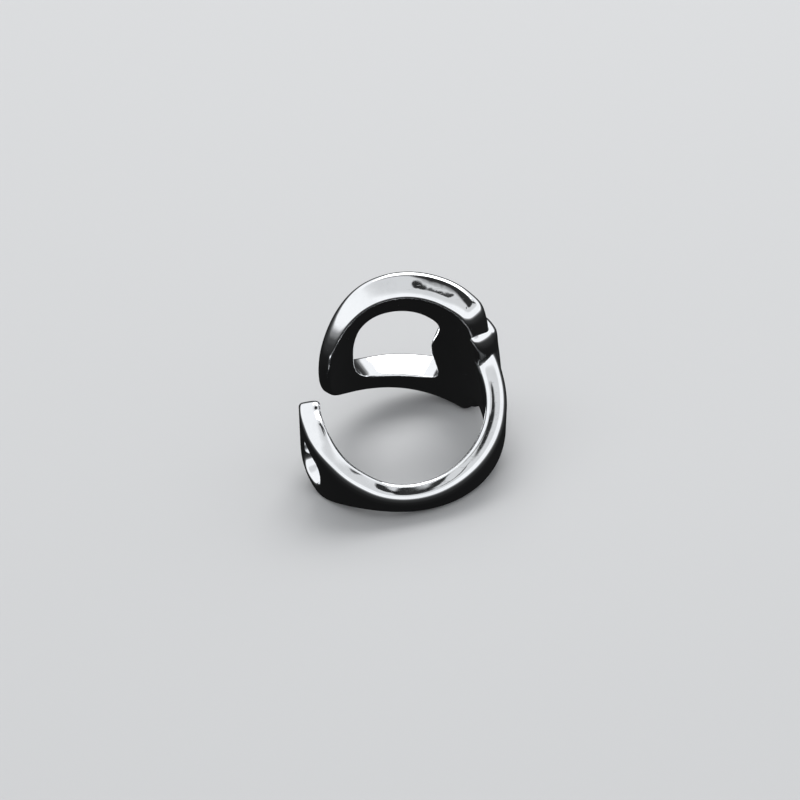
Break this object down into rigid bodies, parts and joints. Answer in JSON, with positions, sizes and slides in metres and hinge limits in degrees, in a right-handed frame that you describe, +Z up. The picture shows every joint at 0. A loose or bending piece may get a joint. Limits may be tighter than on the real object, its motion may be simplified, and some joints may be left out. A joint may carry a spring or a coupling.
{
  "type": "open cuff ring",
  "caption": "Open cuff finger ring cast in one piece: a big windowed loop with a strap folded round its bar, a slim shank and a small slotted loop.",
  "frame": {"origin": "centre of the bottom of the bounding box, on the surface that the ring lies on", "axes": "+Z up; the ring lies on its side, with the big loop towards +Y, the shank towards +X and -Y and the opening towards -X; the finger hole's axis leans 29 degrees from +Z towards -Y"},
  "size_m": [0.0222, 0.0246, 0.0206],
  "materials": {
    "silver": "mirror-polished silver with fine wear scratches"
  },
  "bodies": {
    "root": {"ring_band": "silver"}
  },
  "joints": []
}
